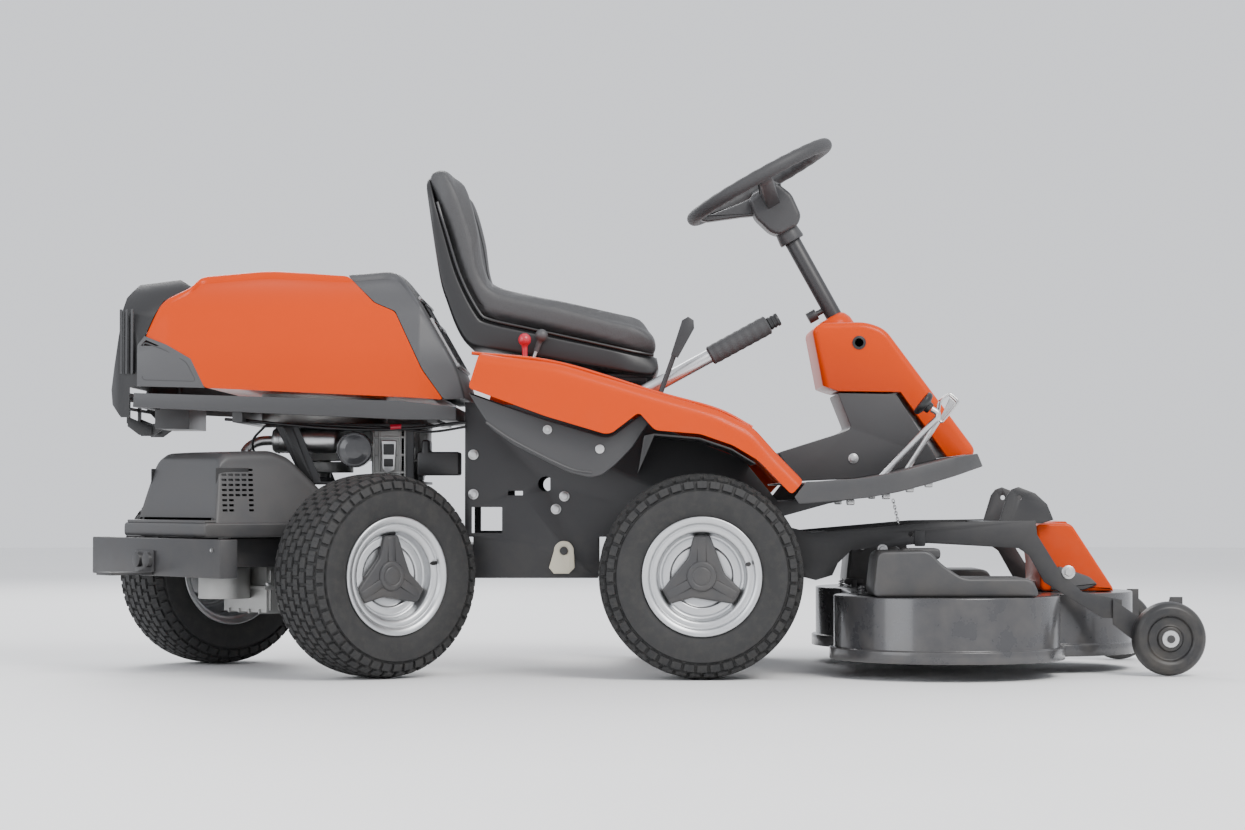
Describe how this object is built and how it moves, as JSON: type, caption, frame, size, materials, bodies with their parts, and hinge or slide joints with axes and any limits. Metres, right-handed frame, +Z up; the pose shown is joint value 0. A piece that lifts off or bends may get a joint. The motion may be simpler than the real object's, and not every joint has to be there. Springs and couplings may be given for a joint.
{
  "type": "riding lawn mower",
  "caption": "Ride-on lawn mower with front cutting deck, articulated rear steering, rear engine hood, seat, steering wheel, pedals and levers.",
  "frame": {"origin": "on the ground, in the middle of the machine's length and width", "axes": "+X forward, +Y to the driver's left, +Z up"},
  "size_m": [2.2485, 0.9998, 1.1035],
  "materials": {
    "orange_plastic": "smooth semi-gloss",
    "dark_plastic": "fine grain",
    "grey_plastic": "fine grain",
    "light_grille": "satin",
    "black_steel": "satin powder coat",
    "deck_paint": "glossy powder coat",
    "bright_steel": "zinc plated",
    "rim_silver": "silver paint",
    "cast_aluminium": "as cast",
    "tread_rubber": "matte",
    "grip_rubber": "matte",
    "seat_vinyl": "grained vinyl",
    "red_plastic": "gloss",
    "cream_zinc": "yellow zinc"
  },
  "bodies": {
    "chassis": {"main_frame": "black_steel", "front_axle": "black_steel", "pivot_bracket": "black_steel", "engine_block": "cast_aluminium", "muffler": "bright_steel", "air_filter": "black_steel", "battery_box": "dark_plastic", "fuel_tank": "dark_plastic", "hood_rail": "dark_plastic", "side_cover_right": "orange_plastic", "side_cover_left": "orange_plastic", "lower_shields": "grey_plastic", "arch_liners": "dark_plastic", "floor_tower": "dark_plastic", "footplate": "grey_plastic", "cowl": "orange_plastic", "steering_column": "black_steel", "lever_console": "dark_plastic", "fasteners": "bright_steel"},
    "hood": {"hood_shell": "orange_plastic", "hood_front_grille": "light_grille", "hood_rear_cap": "dark_plastic", "hood_corner_panels": "grey_plastic"},
    "seat": {"seat_pan": "dark_plastic", "seat_pad": "seat_vinyl"},
    "steering_wheel": {"steering_rim": "dark_plastic", "steering_hub": "dark_plastic"},
    "rear_unit": {"rear_frame": "black_steel", "transaxle": "cast_aluminium", "rear_cover": "dark_plastic", "counterweight_bar": "black_steel", "tow_hitch": "bright_steel"},
    "front_wheel_right": {"front_tyre_right": "tread_rubber", "front_rim_right": "rim_silver"},
    "front_wheel_left": {"front_tyre_left": "tread_rubber", "front_rim_left": "rim_silver"},
    "rear_wheel_right": {"rear_tyre_right": "tread_rubber", "rear_rim_right": "rim_silver"},
    "rear_wheel_left": {"rear_tyre_left": "tread_rubber", "rear_rim_left": "rim_silver"},
    "lift_lever": {"lift_lever": "bright_steel", "lift_grip": "grip_rubber"},
    "lift_button": {"lift_button": "grip_rubber"},
    "height_lever": {"height_lever": "grey_plastic"},
    "throttle_lever": {"throttle_lever": "grey_plastic"},
    "choke_lever": {"choke_lever": "red_plastic"},
    "forward_pedal": {"forward_pedal": "bright_steel"},
    "reverse_pedal": {"reverse_pedal": "bright_steel"},
    "bell_crank": {"bell_crank": "cream_zinc"},
    "equipment": {"equipment_frame": "black_steel", "deck_shell": "deck_paint", "deck_cover": "dark_plastic", "belt_cover": "orange_plastic"},
    "blade_right": {"blade_right": "bright_steel"},
    "blade_left": {"blade_left": "bright_steel"},
    "blade_front": {"blade_front": "bright_steel"},
    "support_carrier": {"support_brackets": "black_steel"},
    "support_wheel_right": {"support_wheel_right": "grip_rubber"},
    "support_wheel_left": {"support_wheel_left": "grip_rubber"}
  },
  "joints": [
    {"name": "rear_steer", "type": "hinge", "parent": "chassis", "child": "rear_unit", "pos_m": [-0.6088, 0, 0.232], "axis": [0, 0, 1], "range_deg": [-76, 0]},
    {"name": "steering_wheel_turn", "type": "hinge", "parent": "chassis", "child": "steering_wheel", "pos_m": [0.4032, 0, 0.743], "axis": [-0.4848, 0, 0.8746], "range_deg": [-266, 0]},
    {"name": "hood_open", "type": "hinge", "parent": "chassis", "child": "hood", "pos_m": [-1.0138, 0, 0.492], "axis": [0, 1, 0], "range_deg": [-60, 0]},
    {"name": "seat_tip", "type": "hinge", "parent": "chassis", "child": "seat", "pos_m": [0.0092, 0, 0.578], "axis": [0, 1, 0], "range_deg": [0, 50]},
    {"name": "front_wheel_right_spin", "type": "hinge", "parent": "chassis", "child": "front_wheel_right", "pos_m": [0.1212, -0.356, 0.2005], "axis": [0, 1, 0], "continuous": true},
    {"name": "front_wheel_left_spin", "type": "hinge", "parent": "chassis", "child": "front_wheel_left", "pos_m": [0.1212, 0.356, 0.2005], "axis": [0, 1, 0], "continuous": true},
    {"name": "rear_wheel_right_spin", "type": "hinge", "parent": "rear_unit", "child": "rear_wheel_right", "pos_m": [-0.51792, -0.32747, 0.2005], "axis": [-0.6157, 0.788, 0], "continuous": true},
    {"name": "rear_wheel_left_spin", "type": "hinge", "parent": "rear_unit", "child": "rear_wheel_left", "pos_m": [-0.90456, 0.1674, 0.2005], "axis": [-0.6157, 0.788, 0], "continuous": true},
    {"name": "equipment_lift", "type": "hinge", "parent": "chassis", "child": "equipment", "pos_m": [0.1912, 0, 0.3], "axis": [0, 1, 0], "range_deg": [-7.5, 0]},
    {"name": "lift_lever_pull", "type": "hinge", "parent": "chassis", "child": "lift_lever", "pos_m": [-0.0288, -0.262, 0.543], "axis": [0, 1, 0], "range_deg": [-50, 0]},
    {"name": "lift_button_press", "type": "slide", "parent": "lift_lever", "child": "lift_button", "axis": [-0.8788, 0, -0.4772], "range_m": [0, 0.01], "stiffness_N_per_m": 300, "springref_m": -0.004},
    {"name": "bell_crank_turn", "type": "hinge", "parent": "chassis", "child": "bell_crank", "pos_m": [-0.1508, -0.196, 0.246], "axis": [0, 1, 0], "range_deg": [-30, 0]},
    {"name": "height_lever_move", "type": "hinge", "parent": "chassis", "child": "height_lever", "pos_m": [0.0372, -0.31, 0.545], "axis": [0, 1, 0], "range_deg": [-25, 0]},
    {"name": "throttle_move", "type": "hinge", "parent": "chassis", "child": "throttle_lever", "pos_m": [-0.2268, -0.241, 0.585], "axis": [0, 1, 0], "range_deg": [-12, 12]},
    {"name": "choke_move", "type": "hinge", "parent": "chassis", "child": "choke_lever", "pos_m": [-0.2268, -0.269, 0.585], "axis": [0, 1, 0], "range_deg": [-12, 12]},
    {"name": "forward_pedal_press", "type": "hinge", "parent": "chassis", "child": "forward_pedal", "pos_m": [0.4762, -0.268, 0.386], "axis": [0, 1, 0], "range_deg": [0, 14], "stiffness_Nm_per_rad": 12, "springref_deg": -17.19},
    {"name": "reverse_pedal_press", "type": "hinge", "parent": "chassis", "child": "reverse_pedal", "pos_m": [0.5312, -0.215, 0.398], "axis": [0, 1, 0], "range_deg": [0, 14], "stiffness_Nm_per_rad": 12, "springref_deg": -17.19},
    {"name": "blade_front_spin", "type": "hinge", "parent": "equipment", "child": "blade_front", "pos_m": [0.8112, 0, 0.1], "axis": [0, 0, 1], "continuous": true},
    {"name": "blade_right_spin", "type": "hinge", "parent": "equipment", "child": "blade_right", "pos_m": [0.6122, -0.302, 0.1], "axis": [0, 0, 1], "continuous": true},
    {"name": "blade_left_spin", "type": "hinge", "parent": "equipment", "child": "blade_left", "pos_m": [0.6122, 0.302, 0.1], "axis": [0, 0, 1], "continuous": true},
    {"name": "support_wheel_height", "type": "slide", "parent": "equipment", "child": "support_carrier", "axis": [0, 0, 1], "range_m": [-0.025, 0]},
    {"name": "support_wheel_right_spin", "type": "hinge", "parent": "support_carrier", "child": "support_wheel_right", "pos_m": [1.0502, -0.286, 0.074], "axis": [0, 1, 0], "continuous": true},
    {"name": "support_wheel_left_spin", "type": "hinge", "parent": "support_carrier", "child": "support_wheel_left", "pos_m": [1.0502, 0.286, 0.074], "axis": [0, 1, 0], "continuous": true}
  ],
  "couplings": [
    {"joint": "steering_wheel_turn", "follows": "rear_steer", "ratio": 3.5},
    {"joint": "lift_lever_pull", "follows": "equipment_lift", "ratio": 6.6657},
    {"joint": "bell_crank_turn", "follows": "equipment_lift", "ratio": 3.999},
    {"joint": "blade_right_spin", "follows": "blade_front_spin", "ratio": 1},
    {"joint": "blade_left_spin", "follows": "blade_front_spin", "ratio": 1},
    {"joint": "height_lever_move", "follows": "support_wheel_height", "rad_per_m": 17.448}
  ]
}
